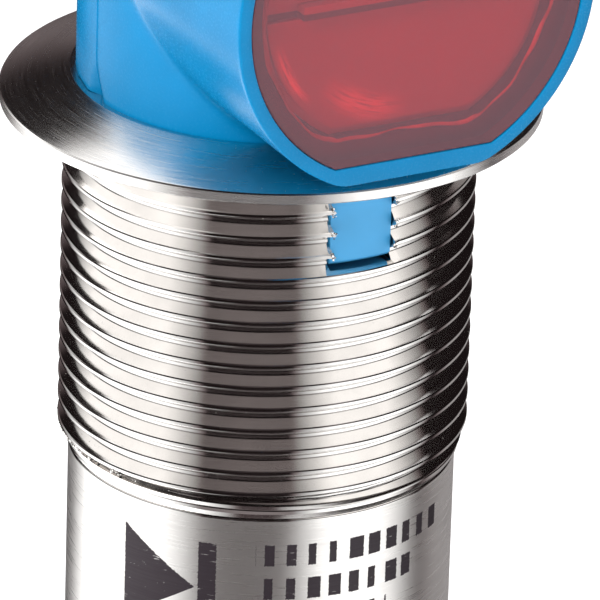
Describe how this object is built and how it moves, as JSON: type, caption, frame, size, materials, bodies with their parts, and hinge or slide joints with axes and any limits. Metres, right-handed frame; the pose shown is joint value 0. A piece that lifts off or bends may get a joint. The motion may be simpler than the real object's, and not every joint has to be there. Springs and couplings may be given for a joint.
{
  "type": "photoelectric sensor",
  "caption": "Cylindrical threaded photoelectric sensor with a radial optical head, red front window, wide flange, sensitivity adjuster and plug connector.",
  "frame": {"origin": "on the thread axis, at the seat under the flange", "axes": "+Z along the barrel to the head, -Z to the connector; the sensor looks along -Y; the adjuster and the indicators face +Y"},
  "size_m": [0.0234, 0.0246, 0.0641],
  "materials": {
    "plated_brass": "turned brass with satin nickel plating, fine turning marks",
    "blue_housing": "smooth semi-gloss moulded plastic, mid blue",
    "red_window": "clear red polished front window",
    "adhesive": "thin translucent bead, uneven edge",
    "black_plastic": "matt black moulded plastic",
    "clear_lens": "clear polished plastic lens",
    "polariser": "thin grey film",
    "circuit_board": "green glass-fibre board with solder mask",
    "red_led": "red epoxy dome",
    "black_epoxy": "black epoxy",
    "green_led": "small green lamp",
    "yellow_led": "small yellow lamp",
    "green_guide": "translucent green light guide",
    "yellow_guide": "translucent yellow light guide",
    "adjuster_blue": "matt plastic trimmer body",
    "adjuster_white": "off-white plastic screw head",
    "seal_rubber": "black nitrile rubber",
    "flex_circuit": "amber flexible circuit",
    "capacitor_can": "bare aluminium can",
    "chip_ceramic": "dark ceramic chip",
    "gold_contact": "gold plated contact"
  },
  "bodies": {
    "body": {"threaded_sleeve": "plated_brass", "head_housing": "blue_housing", "head_rear_cover": "blue_housing", "front_window": "red_window", "window_adhesive": "adhesive", "optics_carrier": "black_plastic", "emitter_lens": "clear_lens", "receiver_lens": "clear_lens", "emitter_polariser": "polariser", "receiver_polariser": "polariser", "optics_board": "circuit_board", "emitter_led": "red_led", "receiver_photodiode": "black_epoxy", "indicator_board": "circuit_board", "power_led": "green_led", "switching_led": "yellow_led", "power_light_guide": "green_guide", "switching_light_guide": "yellow_guide", "adjuster_body": "adjuster_blue", "adjuster_seal": "seal_rubber", "board_link": "flex_circuit", "head_seal_ring": "seal_rubber", "main_board": "circuit_board", "signal_chip": "black_epoxy", "output_driver": "black_epoxy", "buffer_capacitor": "capacitor_can", "chip_resistors": "chip_ceramic", "potting_plug": "black_epoxy", "rear_housing": "blue_housing", "rear_seal_ring": "seal_rubber", "connector_shell": "plated_brass", "contact_carrier": "black_plastic", "contact_pins": "gold_contact", "connector_seal_ring": "seal_rubber"},
    "adjuster": {"adjuster_spindle": "adjuster_white"}
  },
  "joints": [
    {"name": "sensitivity_adjuster", "type": "hinge", "parent": "body", "child": "adjuster", "pos_m": [0, 0.0057, 0.0064], "axis": [0, 1, 0], "range_deg": [-135, 135]}
  ]
}
